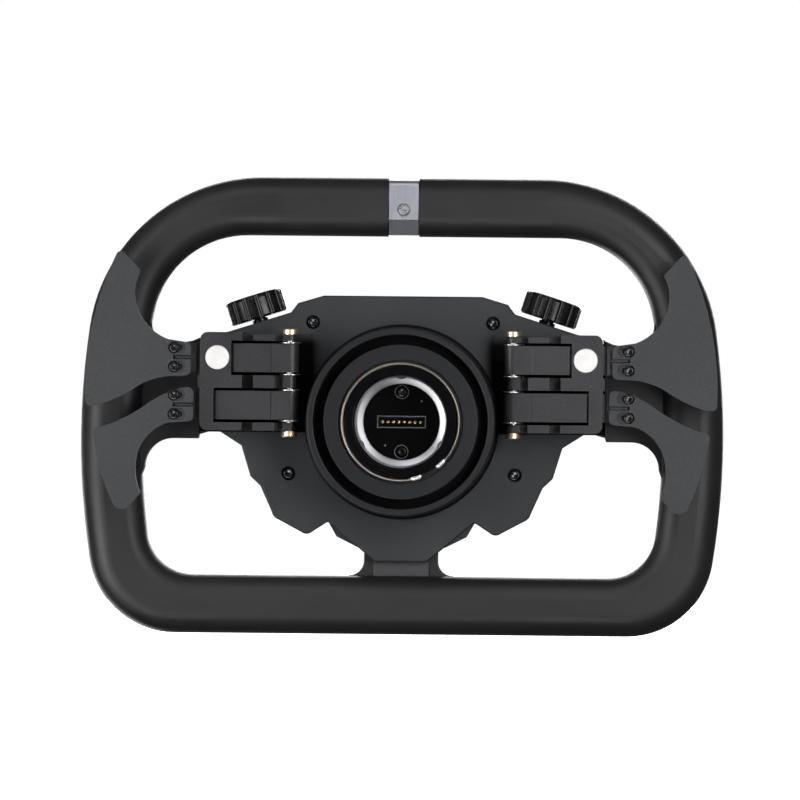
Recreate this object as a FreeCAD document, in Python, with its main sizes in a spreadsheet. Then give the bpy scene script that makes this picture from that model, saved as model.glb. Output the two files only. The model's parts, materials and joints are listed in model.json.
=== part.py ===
import FreeCAD, Part
import math
import os
import Sketcher

# Racing wheel with quick release, paddles, thumb knobs and a front button panel.
# Millimetres. +Z is up, +Y points at the driver and the rear of the wheel faces -Y.
# The origin lies on the steering axis, in the mouth of the quick release.

doc = FreeCAD.newDocument("RacingWheel")
Vector = FreeCAD.Vector
Y_AXIS = Vector(0, 1, 0)

DIMENSIONS = (
    # Rim
    ("rim_top", 114.0, "height of the rim's flat top"),
    ("rim_bottom", 99.5, "depth of the rim's flat bottom below the axis"),
    ("rim_side_x", -215.7, "centre of the long side arc, across"),
    ("rim_side_z", -8.0, "centre of the long side arc, up"),
    ("rim_side_r", 366.0, "outer radius of the long side arc"),
    ("rim_top_r", 82.0, "outer radius of the upper corners"),
    ("rim_bottom_r", 40.5, "outer radius of the lower corners"),
    ("rim_inner_top_r", 44.5, "inner radius of the upper corners"),
    ("rim_inner_bottom_r", 22.0, "inner radius of the lower corners"),
    ("grip_width", 27.3, "width of the grip along the flats"),
    ("grip_side_width", 28.5, "width of the grip at the sides"),
    ("grip_rear", 31.0, "rear face of the grip"),
    ("grip_depth", 30.0, "front to rear depth of the grip"),
    ("grip_round", 10.4, "edge rounding of the grip"),
    ("grip_gap", 7.2, "half width of the gap for the centre band"),
    ("spoke_cover_x", 94.9, "inner end of the padded side spokes"),
    ("spoke_cover_rear", 38.2, "rear face of the padded side spokes"),
    ("spoke_cover_depth", 18.8, "depth of the padded side spokes"),
    # Layers behind one another, from the rear
    ("plate_rear", 38.0, "rear face of the back plate"),
    ("plate_thick", 5.0, "thickness of the back plate"),
    ("relief_depth", 3.4, "depth of the back plate's reliefs beside the collar"),
    ("core_rear", 43.0, "rear face of the rim core"),
    ("core_thick", 6.0, "thickness of the rim core"),
    ("core_margin", 8.5, "grip padding over the core"),
    ("case_front", 64.0, "front face of the housing"),
    ("case_wall", 3.0, "thickness of the housing's front wall"),
    ("face_thick", 2.5, "thickness of the face plate"),
    ("board_rear", 54.0, "rear face of the main circuit board"),
    ("board_thick", 1.6, "thickness of the circuit boards"),
    # Quick release
    ("bore_r", 22.4, "radius of the quick release mouth"),
    ("bore_depth", 11.0, "depth of the quick release mouth"),
    ("inner_bore_r", 21.6, "radius of the bore past the mouth"),
    ("sleeve_r", 26.25, "outer radius of the sleeve"),
    ("flange_r", 36.0, "radius of the sleeve's flange"),
    ("flange_thick", 6.0, "thickness of the sleeve's flange"),
    ("seat_r", 17.9, "inner radius of the taper seat"),
    ("collar_r", 44.2, "outer radius of the sliding collar"),
    ("collar_rear", 2.5, "rear face of the collar's outer rim"),
    ("collar_front", 24.0, "front face of the collar"),
    ("collar_travel", 7.0, "how far the collar slides"),
    ("collar_fit", 0.1, "radial clearance of the collar on the sleeve"),
    ("ball_r", 3.5, "radius of a locking ball"),
    ("ball_orbit", 23.5, "distance of a locked ball from the axis"),
    ("ball_y", 17.0, "depth of the locking balls"),
    ("ball_travel", 1.7, "outward travel of a locking ball"),
    ("ring_wire_r", 0.95, "wire radius of the snap ring"),
    ("ring_r", 27.15, "centre line radius of the snap ring"),
    ("spring_r", 32.4, "distance of the collar springs from the steering axis"),
    ("contact_pitch", 2.54, "spacing of the contacts"),
    # Paddles
    ("hinge_x", 52.2, "hinge axis, across"),
    ("hinge_y", 19.0, "hinge axis, depth"),
    ("pin_r", 1.5, "radius of the hinge pin"),
    ("pin_fit", 0.05, "radial clearance round the hinge pin"),
    ("knuckle_r", 2.95, "radius of the frame's knuckles"),
    ("barrel_r", 4.2, "radius of a lever's barrel"),
    ("frame_rear", 12.0, "rear face of the paddle frame"),
    ("frame_bridge", 4.0, "thickness of the frame's rear bridge"),
    ("frame_outer", 94.0, "outer edge of the paddle frame"),
    ("lever_rear", 16.5, "rear face of a lever's arm"),
    ("lever_thick", 4.0, "thickness of a lever's arm"),
    ("lever_height", 13.4, "height of a lever"),
    ("shift_z", 22.6, "lower edge of the shift lever"),
    ("clutch_z", 0.5, "lower edge of the clutch lever"),
    ("blade_thick", 2.5, "thickness of a paddle blade"),
    ("magnet_x", 86.0, "paddle magnets, across"),
    ("magnet_z", 29.4, "paddle magnets, up"),
    ("magnet_r", 5.7, "radius of a frame magnet"),
    # Thumb knobs
    ("knob_x", 67.5, "centre of a thumb knob's base, across"),
    ("knob_y", 53.0, "thumb knob axis, depth"),
    ("knob_z", 48.0, "centre of a thumb knob's base, up"),
    ("knob_tilt", 17.7, "outward tilt of a thumb knob in degrees"),
    ("knob_r", 13.6, "radius of a thumb knob"),
    ("knob_height", 11.2, "height of a thumb knob"),
    # Front controls
    ("dial_x", 34.0, "front dial, across"),
    ("dial_z", -32.0, "front dial, up"),
    ("dial_r", 8.5, "radius of a front dial"),
    ("button_r", 5.5, "radius of a push button"),
    ("button_top", 69.0, "front face of a push button"),
    ("button_gap", 0.35, "clearance round a push button"),
)

sheet = doc.addObject("Spreadsheet::Sheet", "dim")
for row, (alias, number, meaning) in enumerate(DIMENSIONS, 1):
    sheet.set("A%d" % row, meaning)
    sheet.set("B%d" % row, str(number))
    sheet.setAlias("B%d" % row, alias)
doc.recompute()

nodes = {}


# Helpers. A length is a number or an expression over the sheet's cells, such as "dim.rim_top - 2".

def value(length):
    return float(sheet.evalExpression(str(length)))


def minus(length):
    return -length if isinstance(length, (int, float)) else "-(%s)" % length


def bind(thing, setting, length):
    thing.setExpression(setting, str(length))


def node(name, thing):
    """Name a finished sub-part. Its label is the name of its file."""
    thing.Label = name
    nodes[name] = thing
    return thing


def new_body(name):
    return doc.addObject("PartDesign::Body", name + "_body")


def origin_part(body, role):
    return next(part for part in body.Origin.OriginFeatures if part.Role == role)


def new_sketch(body, plane="XZ", offset=0):
    """A sketch on an origin plane, moved to the given place on the axis across that plane."""
    sketch = body.newObject("Sketcher::SketchObject", body.Name + "_sketch")
    sketch.AttachmentSupport = [(origin_part(body, plane + "_Plane"), "")]
    sketch.MapMode = "FlatFace"
    bind(sketch, "AttachmentOffset.Base.z", minus(offset) if plane == "XZ" else offset)
    return sketch


def pin_point(sketch, geometry, point, across, up):
    """Fix a point of the sketch at (across, up)."""
    for kind, axis, length in (("DistanceX", -2, across), ("DistanceY", -1, up)):
        if value(length) == 0:
            sketch.addConstraint(Sketcher.Constraint("PointOnObject", geometry, point, axis))
            continue
        fixed = Sketcher.Constraint(kind, -1, 1, geometry, point, value(length))
        index = sketch.addConstraint(fixed)
        if isinstance(length, str):
            bind(sketch, "Constraints[%d]" % index, length)


def add_circle(sketch, across, up, radius):
    centre = Vector(value(across), value(up), 0)
    index = sketch.addGeometry(Part.Circle(centre, Vector(0, 0, 1), value(radius)))
    pin_point(sketch, index, 3, across, up)
    size = sketch.addConstraint(Sketcher.Constraint("Radius", index, value(radius)))
    bind(sketch, "Constraints[%d]" % size, radius)


def arc_between(start, end, radius):
    """The short arc from start to end. A positive radius turns left, a negative one turns right."""
    chord = end - start
    rise = math.sqrt(max(0.0, radius ** 2 - (chord.Length / 2) ** 2))
    left = Vector(-chord.y, chord.x, 0).normalize()
    centre = (start + end) / 2 + left * math.copysign(rise, radius)
    first, last = (start, end) if radius > 0 else (end, start)
    circle = Part.Circle(centre, Vector(0, 0, 1), abs(radius))
    return Part.ArcOfCircle(circle, circle.parameter(first), circle.parameter(last))


def add_outline(sketch, corners):
    """A closed loop. A corner is (across, up), or (across, up, radius) where an arc ends there.

    A half circle's ends already fix its radius.
    """
    first = sketch.GeometryCount
    places = [Vector(value(corner[0]), value(corner[1]), 0) for corner in corners]
    ends = []
    for number, corner in enumerate(corners):
        start = places[number - 1]
        end = places[number]
        if len(corner) == 3:
            sketch.addGeometry(arc_between(start, end, value(corner[2])))
            ends.append((1, 2) if value(corner[2]) > 0 else (2, 1))
        else:
            sketch.addGeometry(Part.LineSegment(start, end))
            ends.append((1, 2))
    count = len(corners)
    for number, corner in enumerate(corners):
        here = first + number
        following = first + (number + 1) % count
        start_of_next = ends[(number + 1) % count][0]
        joined = Sketcher.Constraint("Coincident", here, ends[number][1], following, start_of_next)
        sketch.addConstraint(joined)
        pin_point(sketch, here, ends[number][1], corner[0], corner[1])
        span = (places[number] - places[number - 1]).Length
        if len(corner) == 3 and span < 1.99 * abs(value(corner[2])):
            size = sketch.addConstraint(Sketcher.Constraint("Radius", here, abs(value(corner[2]))))
            bind(sketch, "Constraints[%d]" % size, "abs(%s)" % corner[2])


def add_rectangle(sketch, left, bottom, right, top):
    add_outline(sketch, [(left, bottom), (right, bottom), (right, top), (left, top)])


def add_slot(sketch, left, right, up, half_width):
    """A slot along the sketch's first axis; left and right are the centres of its round ends."""
    low = "%s - %s" % (up, half_width)
    high = "%s + %s" % (up, half_width)
    add_outline(sketch, [(left, low, half_width), (right, low), (right, high, half_width), (left, high)])


def both_sides(half):
    """Continue a right-hand path, which runs from top to bottom, up the left-hand side."""
    left = []
    for number in range(len(half) - 1, -1, -1):
        across, up = half[number][:2]
        came_from = half[number + 1] if number + 1 < len(half) else ()
        if value(across) != 0:
            left.append((minus(across), up) + tuple(came_from[2:]))
    return list(half) + left


def reversed_path(corners):
    """The same path walked the other way."""
    result = []
    for number in range(len(corners) - 1, -1, -1):
        came_from = corners[number + 1] if number + 1 < len(corners) else ()
        result.append(corners[number][:2] + tuple(minus(radius) for radius in came_from[2:]))
    return result


def flipped(corners):
    """The same loop on the left-hand side."""
    return [(minus(x), z) + tuple(minus(radius) for radius in turn) for x, z, *turn in corners]


def along_axis(feature, profile, forward_is_reversed):
    feature.Profile = profile
    on_rear_plane = profile.AttachmentSupport[0][0].Role == "XZ_Plane"
    feature.Reversed = on_rear_plane == forward_is_reversed


def pad(body, profile, length):
    """Add material from the sketch towards the positive axis."""
    feature = body.newObject("PartDesign::Pad", body.Name + "_pad")
    along_axis(feature, profile, True)
    bind(feature, "Length", length)
    body.Tip = feature
    return feature


def pocket(body, profile, length):
    """Remove material from the sketch towards the positive axis."""
    feature = body.newObject("PartDesign::Pocket", body.Name + "_pocket")
    along_axis(feature, profile, False)
    bind(feature, "Length", length)
    body.Tip = feature
    return feature


def padded(name, corners, rear, depth):
    """A plate: an outline seen from the rear, and its thickness."""
    body = new_body(name)
    profile = new_sketch(body, "XZ", rear)
    add_outline(profile, corners)
    pad(body, profile, depth)
    return body


def drill(body, spots, radius, rear, depth):
    """Round holes along Y at the given (x, z) spots."""
    profile = new_sketch(body, "XZ", rear)
    for across, up in spots:
        add_circle(profile, across, up, radius)
    return pocket(body, profile, depth)


def revolved(name, corners, plane="XY"):
    """A turned piece. The corners are (radius, height); "XY" turns about Y and "XZ" about Z."""
    body = new_body(name)
    profile = new_sketch(body, plane)
    add_outline(profile, corners)
    feature = body.newObject("PartDesign::Revolution", name + "_turned")
    feature.Profile = profile
    feature.ReferenceAxis = (profile, ["V_Axis"])
    feature.Angle = 360
    body.Tip = feature
    return body


def around(body, feature, count, role):
    """Repeat a feature evenly round one of the body's axes."""
    pattern = body.newObject("PartDesign::PolarPattern", body.Name + "_pattern")
    pattern.Originals = [feature]
    pattern.Axis = (origin_part(body, role), [""])
    pattern.Angle = 360
    pattern.Occurrences = count
    body.Tip = pattern
    return pattern


def soften(body, radius, wanted, kind="Fillet"):
    """Round or chamfer the edges of the body that the test picks."""
    doc.recompute()
    base = body.Tip
    names = ["Edge%d" % number for number, edge in enumerate(base.Shape.Edges, 1) if wanted(edge)]
    if not names:
        raise ValueError("no edges to soften on " + body.Label)
    feature = body.newObject("PartDesign::" + kind, body.Name + "_" + kind.lower())
    feature.Base = (base, names)
    bind(feature, "Radius" if kind == "Fillet" else "Size", radius)
    body.Tip = feature
    return feature


def in_plane(edge, axis, place, tolerance=0.01):
    """Whether an edge lies in the plane where the named axis has the given value."""
    box = edge.BoundBox
    low = getattr(box, axis.upper() + "Min")
    high = getattr(box, axis.upper() + "Max")
    return abs(low - place) < tolerance and abs(high - place) < tolerance


def place(thing, x, y, z, axis=Vector(0, 0, 1), angle=0):
    thing.Placement = FreeCAD.Placement(Vector(value(x), value(y), value(z)),
                                        FreeCAD.Rotation(axis, value(angle)))
    bind(thing, "Placement.Base.x", x)
    bind(thing, "Placement.Base.y", y)
    bind(thing, "Placement.Base.z", z)
    if angle:
        bind(thing, "Placement.Rotation.Angle", angle)
    return thing


def cut(name, base, tool):
    result = doc.addObject("Part::Cut", name + "_cut")
    result.Base = base
    result.Tool = tool
    return result


def fuse(name, pieces):
    result = doc.addObject("Part::MultiFuse", name + "_fused")
    result.Shapes = pieces
    return result


def group(name, source, spots, **turn):
    """Separate copies of one piece at (x, y, z) spots, in one node."""
    links = []
    for number, (x, y, z) in enumerate(spots):
        link = doc.addObject("App::Link", "%s_copy_%d" % (name, number))
        link.LinkedObject = source
        link.LinkTransform = False
        place(link, x, y, z, **turn)
        links.append(link)
    compound = doc.addObject("Part::Compound", name + "_group")
    compound.Links = links
    return node(name, compound)


def left_of(name, source):
    """The left-hand copy of a right-hand piece."""
    mirror = doc.addObject("Part::Mirroring", name + "_mirror")
    mirror.Source = source
    mirror.Base = Vector(0, 0, 0)
    mirror.Normal = Vector(1, 0, 0)
    return node(name, mirror)


def pair(name, source):
    """Name a right-hand piece and make its left-hand twin."""
    node(name + "_right", source)
    left_of(name + "_left", source)


def mirrored_spots(spots):
    return [spot for x, z in spots for spot in ((x, z), (minus(x), z))]


def screw(name, head_r, head_height, shank_r, shank_length, socket_r):
    """A button-head screw with its seat at y = 0, its head towards -Y and a hexagon socket."""
    crown = head_height * 0.55
    body = revolved(name, [
        (0, -head_height), (head_r * 0.72, -head_height), (head_r, -head_height + crown),
        (head_r, 0), (shank_r, 0), (shank_r, shank_length), (0, shank_length)])
    profile = new_sketch(body, "XZ", -head_height)
    hexagon = [(socket_r * math.cos(math.radians(60 * k)), socket_r * math.sin(math.radians(60 * k)))
               for k in range(6)]
    add_outline(profile, hexagon)
    pocket(body, profile, head_height * 0.6)
    return body


# Rim -------------------------------------------------------------------------------------------

PLATE_SCREWS = [(42.1, 46.3), (52.9, -24.5)]
BAND_SCREW_Z = 99.2
SPOKE_TOP = 27
SPOKE_BOTTOM = -2
NECK_HALF = 13
HUB_TOP = 42.6


def flange_screw_spots():
    return [(32 * math.cos(math.radians(60 * k + 30)), 32 * math.sin(math.radians(60 * k + 30)))
            for k in range(6)]


def rim_corner(side_r, flat_z, corner_r, downwards):
    """Where a corner arc meets the flat and the long side arc."""
    centre_z = "(%s %s %s)" % (flat_z, "+" if downwards else "-", corner_r)
    reach = "(%s - %s)" % (side_r, corner_r)
    centre_x = "(dim.rim_side_x + sqrt(%s^2 - (%s - dim.rim_side_z)^2))" % (reach, centre_z)
    stretch = "(%s / %s)" % (side_r, reach)
    side_x = "(dim.rim_side_x + (%s - dim.rim_side_x) * %s)" % (centre_x, stretch)
    side_z = "(dim.rim_side_z + (%s - dim.rim_side_z) * %s)" % (centre_z, stretch)
    return (centre_x, flat_z), (side_x, side_z)


def rim_half(side_r, top_z, top_r, bottom_z, bottom_r):
    """The right half of a rim outline, clockwise from the flat top to the flat bottom."""
    top_flat, top_side = rim_corner(side_r, top_z, top_r, False)
    bottom_flat, bottom_side = rim_corner(side_r, bottom_z, bottom_r, True)
    return [top_flat, top_side + (minus(top_r),), bottom_side + (minus(side_r),),
            bottom_flat + (minus(bottom_r),)]


def outer_half(margin):
    """The right half of the rim's outside, moved inwards by a margin."""
    return rim_half("(dim.rim_side_r - %s)" % margin, "(dim.rim_top - %s)" % margin,
                    "(dim.rim_top_r - %s)" % margin, "(-dim.rim_bottom + %s)" % margin,
                    "(dim.rim_bottom_r - %s)" % margin)


def inner_half(margin):
    """The right half of the rim's opening, moved outwards by a margin."""
    return rim_half("(dim.rim_side_r - dim.grip_side_width + %s)" % margin,
                    "(dim.rim_top - dim.grip_width + %s)" % margin,
                    "(dim.rim_inner_top_r + %s)" % margin,
                    "(-dim.rim_bottom + dim.grip_width - %s)" % margin,
                    "(dim.rim_inner_bottom_r + %s)" % margin)


def make_rim_core():
    """Metal skeleton: a ring inside the grip, two side spokes, a lower neck and the hub plate."""
    outer = outer_half("dim.core_margin")
    inner = inner_half("dim.core_margin")
    inner_r = inner[2][2]
    side_x = "(dim.rim_side_x + sqrt((%s)^2 - (%s - dim.rim_side_z)^2))"
    window_top = [(0, inner[0][1]), inner[0], inner[1],
                  (side_x % (inner_r, SPOKE_TOP), SPOKE_TOP, inner_r),
                  (46, SPOKE_TOP), (46, HUB_TOP), (0, HUB_TOP)]
    window_side = [(side_x % (inner_r, SPOKE_BOTTOM), SPOKE_BOTTOM), inner[2], inner[3],
                   (NECK_HALF, inner[3][1]), (NECK_HALF, -56), (30, -44), (44, -42), (58, -34),
                   (72, SPOKE_BOTTOM)]
    body = padded("rim_core", both_sides(outer), "dim.core_rear", "dim.core_thick")
    windows = new_sketch(body, "XZ", "dim.core_rear")
    add_outline(windows, both_sides(window_top))
    add_outline(windows, window_side)
    add_outline(windows, flipped(window_side))
    pocket(body, windows, "dim.core_thick")
    drill(body, [(0, 0)], 12, "dim.core_rear", "dim.core_thick")
    drill(body, flange_screw_spots(), 2.1, "dim.core_rear", "dim.core_thick")
    drill(body, mirrored_spots(PLATE_SCREWS[1:]), 1.7, "dim.core_rear", "dim.core_thick")
    drill(body, [(0, BAND_SCREW_Z)], 1.3, "dim.core_rear", 4)
    return node("rim_core", body)


def make_rim_grip(core):
    """Moulded grip with padded spokes and neck. It opens at the top for the centre band."""
    gap = "dim.grip_gap"
    outer = outer_half("0")
    inner = inner_half("0")
    outside = both_sides([(gap, outer[0][1])] + outer)
    inside = both_sides([(gap, inner[0][1])] + inner)
    body = padded("rim_grip", outside + reversed_path(inside), "dim.grip_rear", "dim.grip_depth")
    rear = value("dim.grip_rear")
    front = value("dim.grip_rear + dim.grip_depth")
    end = value(gap)
    soften(body, "dim.grip_round", lambda edge: (
        (in_plane(edge, "y", rear) or in_plane(edge, "y", front))
        and not in_plane(edge, "x", end) and not in_plane(edge, "x", -end)))
    fillet = 13
    top = 33
    bottom = -8.6
    cover = [("dim.spoke_cover_x", -6.7), ("dim.spoke_cover_x + 0.6", bottom), (107.3, bottom),
             (107.3 + fillet, bottom - fillet, -fillet), (122, bottom - fillet - 5),
             (128, bottom - fillet - 5), (128, top + fillet + 4), (119, top + fillet + 4),
             (104.5 + fillet, top + fillet), (104.5, top, -fillet), (101, 36.6), (98.3, 37.1),
             ("dim.spoke_cover_x", 38.6)]
    covers = new_sketch(body, "XZ", "dim.spoke_cover_rear")
    add_outline(covers, cover)
    add_outline(covers, flipped(cover))
    pad(body, covers, "dim.spoke_cover_depth")
    neck = new_sketch(body, "XZ", 43.6)
    add_outline(neck, both_sides([(0, -61), (17.3, -61), (17.3, -65), (24.3, -72, 7), (24.3, -80),
                                  (0, -80)]))
    pad(body, neck, 14)
    return node("rim_grip", cut("rim_grip", body, core))


def make_centre_band(core):
    """Aluminium band round the core at twelve o'clock, with a bevel and a screw."""
    half_width = 6.9
    body = new_body("centre_band")
    profile = new_sketch(body, "YZ", -half_width)
    add_outline(profile, [(31.4, 94.7), (36, 87.4), (56, 87.4), (60.6, 94.7), (60.6, 109.9),
                          (57.6, 112.9, 3), (34.4, 112.9), (31.4, 109.9, 3)])
    pad(body, profile, 2 * half_width)
    drill(body, [(0, BAND_SCREW_Z)], 3.1, 31.4, 1.2)
    drill(body, [(0, BAND_SCREW_Z)], 1.4, 31.4, 16)
    node("centre_marker_band", cut("centre_band", body, core))
    marker = screw("marker_screw", 2.9, 1.3, 1.2, 13, 1.2)
    place(marker, 0, 32.6, BAND_SCREW_Z)
    return node("marker_screw", marker)


# Hub -------------------------------------------------------------------------------------------

PLATE_HALF = [(0, 58.8), (37, 58.8), (49.1, 55.2), (52.4, 50.8), (81.7, 41.5), (94.7, 39), (94.7, -6.6),
              (90.5, -5.4), (85, -5.4), (75.1, -11.7), (70.7, -26), (66, -30.5), (60.6, -42.6),
              (57.4, -46.2, -5), (46.6, -52), (41.4, -51.6, -4), (34.3, -47), (12, -65.6), (0, -65.6)]
CASE_HALF = [(0, 58.3), (36.8, 58.3), (48.8, 54.7), (52.1, 50.3), (81.4, 41), (94.7, 38.5), (94.7, -6.2),
             (90.5, -5), (84.8, -5), (74.8, -11.2), (70.3, -25.8), (65.6, -30.3), (60, -42.8), (44, -51.4),
             (36, -47.4), (34, -47.4), (30.3, -53.9), (20.5, -58.8), (14, -60.5), (0, -60.5)]
CAVITY_HALF = [(0, 55.3), (36, 55.3), (46.8, 52), (50.2, 47.4), (80.5, 37.8), (91.5, 35.7), (91.5, -2),
               (82.5, -2.8), (72.3, -9.5), (67.6, -24.2), (63, -29), (57.7, -41), (44, -48),
               (36.5, -44.2), (32.2, -44.2), (28.3, -51.5), (19.6, -55.6), (14, -57.5), (0, -57.5)]
FACE_HALF = [(0, 56.8), (36.3, 56.8), (47.6, 53.4), (50.8, 49.2), (81, 39.6), (93.2, 37.2),
             (93.2, -3.6), (84.4, -3.6), (73.7, -10.2), (69, -25), (64.4, -29.7), (59, -41.6),
             (44, -49.6), (36, -45.9), (33.1, -45.9), (29.2, -52.8), (20, -57.3), (14, -59), (0, -59)]
FACE_SCREWS = [(44.5, 44), (87.5, 33), (87.5, 0), (55, -36)]
FRAME_SCREWS = [(64, 38.7), (80, 38.7), (64, 18.2), (80, 18.2), (64, -2.8), (80, -2.8)]
BUTTONS = [(79, 16), (61, 16), (70, 1), (54, -5)]
BAR_HALF = 36
BAR_Z = 50.5
RELIEF_INNER = 42
RELIEF_OUTER = 59.4
RELIEF_BOTTOM = -5.2
RELIEF_RAMP = 29
RELIEF_TOP = 40.5


def make_back_plate():
    """Machined plate between the quick release and the rim core, relieved beside the collar.

    A relief's floor runs out at its upper end.
    """
    body = padded("back_plate", both_sides(PLATE_HALF), "dim.plate_rear", "dim.plate_thick")
    rear = value("dim.plate_rear")
    soften(body, 0.6, lambda edge: in_plane(edge, "y", rear), "Chamfer")
    floor = "dim.plate_rear + dim.relief_depth"
    for near in (RELIEF_INNER, -RELIEF_OUTER):
        relief = new_sketch(body, "YZ", near)
        add_outline(relief, [("dim.plate_rear", RELIEF_BOTTOM), (floor, RELIEF_BOTTOM),
                             (floor, RELIEF_RAMP), ("dim.plate_rear", RELIEF_TOP)])
        pocket(body, relief, RELIEF_OUTER - RELIEF_INNER)
    drill(body, [(0, 0)], 12, rear, "dim.plate_thick")
    drill(body, flange_screw_spots(), 2.1, rear, "dim.plate_thick")
    drill(body, mirrored_spots(PLATE_SCREWS), 3.3, rear, 3.2)
    drill(body, mirrored_spots(PLATE_SCREWS), 1.6, rear, "dim.plate_thick")
    drill(body, mirrored_spots(FRAME_SCREWS), 1.05, rear, "dim.plate_thick")
    drill(body, mirrored_spots(FRAME_SCREWS), 2.1, "dim.core_rear - 1.8", 1.8)
    node("back_plate", body)
    plate_screw = screw("plate_screw", 2.75, 2.6, 1.45, 14, 1.5)
    spots = [(x, "dim.plate_rear + 3.2", z) for x, z in mirrored_spots(PLATE_SCREWS)]
    group("back_plate_screws", plate_screw, spots)


def knob_frame(thing, along):
    """Put a piece on the right-hand thumb knob's axis, a distance beyond the knob's base."""
    lean = "sin(dim.knob_tilt)"
    rise = "cos(dim.knob_tilt)"
    return place(thing, "dim.knob_x + (%s) * %s" % (along, lean), "dim.knob_y",
                 "dim.knob_z + (%s) * %s" % (along, rise), axis=Y_AXIS, angle="dim.knob_tilt")


def make_housing():
    """Front tray that holds the electronics, with bosses for the back plate's screws."""
    body = padded("housing", both_sides(CASE_HALF), "dim.core_rear", "dim.case_front - dim.core_rear")
    hollow = new_sketch(body, "XZ", "dim.core_rear")
    add_outline(hollow, both_sides(CAVITY_HALF))
    pocket(body, hollow, "dim.case_front - dim.core_rear - dim.case_wall")
    notches = new_sketch(body, "XZ", "dim.core_rear")
    for side in (1, -1):
        near, far = sorted((side * 90, side * 96))
        add_rectangle(notches, near, SPOKE_BOTTOM - 0.2, far, SPOKE_TOP + 0.2)
    add_rectangle(notches, -NECK_HALF - 0.2, -62, NECK_HALF + 0.2, -57)
    pocket(body, notches, "dim.core_thick + 0.2")
    inner_face = "dim.case_front - dim.case_wall"
    for (x, z), foot in zip(PLATE_SCREWS, ("dim.core_rear", "(dim.core_rear + dim.core_thick)")):
        bosses = new_sketch(body, "XZ", foot)
        add_circle(bosses, x, z, 3.2)
        add_circle(bosses, -x, z, 3.2)
        pad(body, bosses, "%s - %s" % (inner_face, foot))
        drill(body, [(x, z), (-x, z)], 1.5, foot, "57 - (%s)" % foot)
    drill(body, mirrored_spots(BUTTONS), "dim.button_r + dim.button_gap", inner_face, "dim.case_wall")
    drill(body, mirrored_spots([("dim.dial_x", "dim.dial_z")]), 3.5, inner_face, "dim.case_wall")
    drill(body, mirrored_spots(FACE_SCREWS), 1.3, inner_face, "dim.case_wall")
    necks = []
    for side in (1, -1):
        hole = doc.addObject("Part::Cylinder", "neck_hole")
        bind(hole, "Radius", 4)
        bind(hole, "Height", 14)
        knob_frame(hole, -12)
        if side < 0:
            mirror = doc.addObject("Part::Mirroring", "neck_hole_left")
            mirror.Source = hole
            mirror.Normal = Vector(1, 0, 0)
            hole = mirror
        necks.append(hole)
    return node("housing", cut("housing", body, fuse("neck_holes", necks)))


def make_face_plate():
    """Face plate with its buttons' holes and the slot for the light bar."""
    body = padded("face_plate", both_sides(FACE_HALF), "dim.case_front", "dim.face_thick")
    depth = "dim.face_thick"
    drill(body, mirrored_spots(BUTTONS), "dim.button_r + dim.button_gap", "dim.case_front", depth)
    drill(body, mirrored_spots([("dim.dial_x", "dim.dial_z")]), 3.5, "dim.case_front", depth)
    drill(body, mirrored_spots(FACE_SCREWS), 1.3, "dim.case_front", depth)
    drill(body, mirrored_spots(FACE_SCREWS), 2.6, "dim.case_front + 1.2", "dim.face_thick - 1.2")
    bar = new_sketch(body, "XZ", "dim.case_front")
    add_slot(bar, -BAR_HALF + 3, BAR_HALF - 3, BAR_Z, 3)
    pocket(body, bar, depth)
    node("face_plate", body)
    lens = new_body("rev_light_lens")
    profile = new_sketch(lens, "XZ", "dim.case_front")
    add_slot(profile, -BAR_HALF + 3, BAR_HALF - 3, BAR_Z, 3)
    pad(lens, profile, "dim.face_thick + 0.4")
    node("rev_light_lens", lens)
    face_screw = screw("face_screw", 2.4, 1.5, 1.2, 4, 1.2)
    spots = [(x, "dim.case_front + 1.2", z) for x, z in mirrored_spots(FACE_SCREWS)]
    group("face_plate_screws", face_screw, spots, axis=Vector(0, 0, 1), angle=180)


def make_circuit_boards():
    """Main board behind the front wall and a sensor board for each paddle pair."""
    main_half = [(0, 41), (37, 41), (47, 25), (85, 25), (85, -1), (80, -1.5), (70, -8), (62, -15),
                 (46, -15), (44, -40), (24, -44), (0, -44)]
    main = padded("main_board", both_sides(main_half), "dim.board_rear", "dim.board_thick")
    sensors = new_body("sensor_boards")
    profile = new_sketch(sensors, "XZ", "dim.plate_rear - dim.board_thick")
    add_rectangle(profile, 62, 23, 78, 35)
    pad(sensors, profile, "dim.board_thick")
    left = doc.addObject("Part::Mirroring", "sensor_board_left")
    left.Source = sensors
    left.Normal = Vector(1, 0, 0)
    boards = doc.addObject("Part::Compound", "boards_group")
    boards.Links = [main, sensors, left]
    return node("circuit_boards", boards)


# Quick release ---------------------------------------------------------------------------------

def ball_direction(number):
    angle = math.radians(90 + 120 * number)
    return math.cos(angle), math.sin(angle)


def make_sleeve():
    """Sleeve with the mouth bore, a snap ring groove, three ball holes and a bolted flange."""
    groove_r = "dim.sleeve_r - 0.35"
    body = revolved("qr_sleeve", [
        ("dim.bore_r", 0), (groove_r, 0), ("dim.sleeve_r", 0.4), ("dim.sleeve_r", 1.5),
        (groove_r, 1.5), (groove_r, 3.3), ("dim.sleeve_r", 3.3),
        ("dim.sleeve_r", "dim.plate_rear - dim.flange_thick"),
        ("dim.flange_r", "dim.plate_rear - dim.flange_thick"), ("dim.flange_r", "dim.plate_rear"),
        (12, "dim.plate_rear"), (12, 34), ("dim.inner_bore_r", 34),
        ("dim.inner_bore_r", "dim.bore_depth"), ("dim.bore_r", "dim.bore_depth")])
    holes = new_sketch(body, "XY")
    add_circle(holes, 0, "dim.ball_y", "dim.ball_r + 0.05")
    ball_hole = pocket(body, holes, "dim.flange_r")
    around(body, ball_hole, 3, "Y_Axis")
    drill(body, flange_screw_spots(), 2.1, "dim.plate_rear - 5", 5)
    drill(body, [(0, 14), (0, -14)], 1.25, 34, "dim.plate_rear - 34")
    return node("qr_sleeve", body)


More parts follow.
